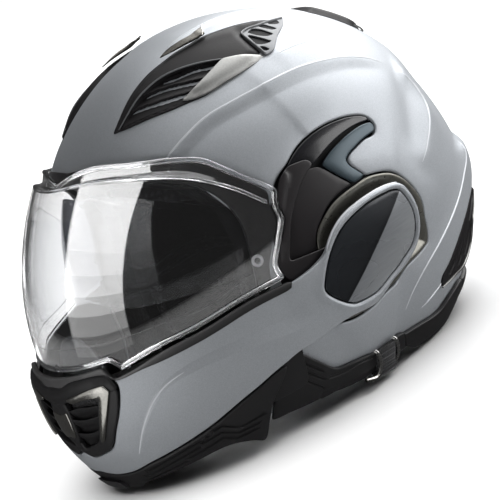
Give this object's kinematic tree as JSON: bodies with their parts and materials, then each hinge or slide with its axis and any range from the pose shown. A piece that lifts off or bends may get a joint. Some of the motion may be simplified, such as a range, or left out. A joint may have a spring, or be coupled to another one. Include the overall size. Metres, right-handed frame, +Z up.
{
  "type": "modular motorcycle helmet",
  "caption": "Modular flip-up motorcycle helmet with hinged chin bar, clear visor, drop-down sun visor, crown vents, liner and buckled chin strap.",
  "frame": {"origin": "middle of the helmet's length and width, on the surface it stands on", "axes": "+Z up, the face opening looks along -Y, +X is the wearer's left"},
  "size_m": [0.2592, 0.3531, 0.2586],
  "materials": {
    "shell_paint": "satin silver-grey metallic paint",
    "black_plastic": "satin moulded black",
    "foam": "expanded bead foam",
    "liner_fabric": "brushed knit",
    "webbing": "woven strap",
    "soft_rubber": "matt",
    "silver_trim": "satin bright",
    "blue_grey": "satin",
    "titanium": "satin titanium paint",
    "gunmetal": "brushed gunmetal",
    "steel": "plain",
    "clear_shield": "clear polycarbonate",
    "smoke_shield": "smoke polycarbonate"
  },
  "bodies": {
    "shell": {"outer_shell": "shell_paint", "eps_liner": "foam", "crown_pad": "liner_fabric", "cheek_pad_left": "liner_fabric", "cheek_pad_right": "liner_fabric", "neck_roll": "liner_fabric", "eyeport_seal": "soft_rubber", "side_skirt_left": "black_plastic", "side_skirt_right": "black_plastic", "rear_neck_trim": "black_plastic", "top_vent_housing_left": "black_plastic", "top_vent_housing_right": "black_plastic", "top_vent_blade_left": "silver_trim", "top_vent_blade_right": "silver_trim", "top_vent_grille_left": "black_plastic", "top_vent_grille_right": "black_plastic", "rear_exhaust_vent": "black_plastic", "rear_outlet_left": "black_plastic", "rear_outlet_right": "black_plastic", "hinge_base_left": "black_plastic", "hinge_base_right": "black_plastic", "hinge_hook_left": "blue_grey", "hinge_hook_right": "blue_grey", "hinge_crescents": "black_plastic", "pod_ring_left": "titanium", "pod_ring_right": "titanium", "pivot_pins": "steel", "hinge_screws": "steel", "striker_pins": "black_plastic", "sun_visor_pins": "black_plastic", "strap_left": "webbing", "strap_right": "webbing", "strap_rivets": "steel", "buckle_body": "black_plastic", "buckle_tongue": "steel", "buckle_pin": "steel"},
    "chin_bar": {"chin_bar_shell": "shell_paint", "chin_bar_liner": "foam", "chin_lower_trim": "black_plastic", "chin_vent_cap": "black_plastic", "chin_vent_trim": "silver_trim", "chin_vent_mesh": "black_plastic", "chin_vent_bar": "black_plastic", "pod_insert_left": "gunmetal", "pod_insert_right": "gunmetal", "breath_guard": "soft_rubber", "chin_curtain": "liner_fabric"},
    "visor": {"visor_shield": "clear_shield", "visor_arm_left": "black_plastic", "visor_arm_right": "black_plastic", "pinlock_lens": "clear_shield", "pinlock_pins": "clear_shield"},
    "sun_visor": {"sun_visor": "smoke_shield"},
    "sun_switch": {"sun_visor_switch": "black_plastic"},
    "vent_slider_left": {"top_vent_slider_left": "titanium"},
    "vent_slider_right": {"top_vent_slider_right": "titanium"},
    "chin_shutter": {"chin_vent_shutter": "black_plastic"},
    "release": {"release_button": "black_plastic"},
    "latch": {"latch_hooks": "steel"},
    "lever": {"buckle_lever": "black_plastic"}
  },
  "joints": [
    {"name": "chin_bar_hinge", "type": "hinge", "parent": "shell", "child": "chin_bar", "pos_m": [0, 0.024, 0.107], "axis": [-1, 0, 0], "range_deg": [0, 180]},
    {"name": "visor_hinge", "type": "hinge", "parent": "chin_bar", "child": "visor", "pos_m": [0, 0.024, 0.107], "axis": [-1, 0, 0], "range_deg": [0, 48]},
    {"name": "sun_visor_hinge", "type": "hinge", "parent": "shell", "child": "sun_visor", "pos_m": [0, 0.024, 0.107], "axis": [-1, 0, 0], "range_deg": [0, 38]},
    {"name": "sun_switch_slide", "type": "slide", "parent": "shell", "child": "sun_switch", "axis": [0.1959, 0.9806, 0], "range_m": [0, 0.0101]},
    {"name": "vent_slide_left", "type": "hinge", "parent": "shell", "child": "vent_slider_left", "pos_m": [0, 0.024, 0.107], "axis": [-1, 0, 0], "range_deg": [0, 2.6]},
    {"name": "vent_slide_right", "type": "hinge", "parent": "shell", "child": "vent_slider_right", "pos_m": [0, 0.024, 0.107], "axis": [-1, 0, 0], "range_deg": [0, 2.6]},
    {"name": "chin_shutter_slide", "type": "slide", "parent": "chin_bar", "child": "chin_shutter", "axis": [0, 0, 1], "range_m": [0, 0.008]},
    {"name": "release_push", "type": "slide", "parent": "chin_bar", "child": "release", "axis": [0, 1, 0], "range_m": [0, 0.004], "stiffness_N_per_m": 600, "springref_m": -0.001},
    {"name": "latch_turn", "type": "hinge", "parent": "chin_bar", "child": "latch", "pos_m": [0, -0.1005, 0.038], "axis": [1, 0, 0], "range_deg": [0, 18]},
    {"name": "buckle_lever_hinge", "type": "hinge", "parent": "shell", "child": "lever", "pos_m": [0.013, 0.0115, 0.0104], "axis": [0, 1, 0], "range_deg": [0, 60], "stiffness_Nm_per_rad": 0.02, "springref_deg": -11.46}
  ],
  "couplings": [
    {"joint": "sun_switch_slide", "follows": "sun_visor_hinge", "m_per_rad": 0.01508},
    {"joint": "latch_turn", "follows": "release_push", "rad_per_m": 78.5}
  ]
}
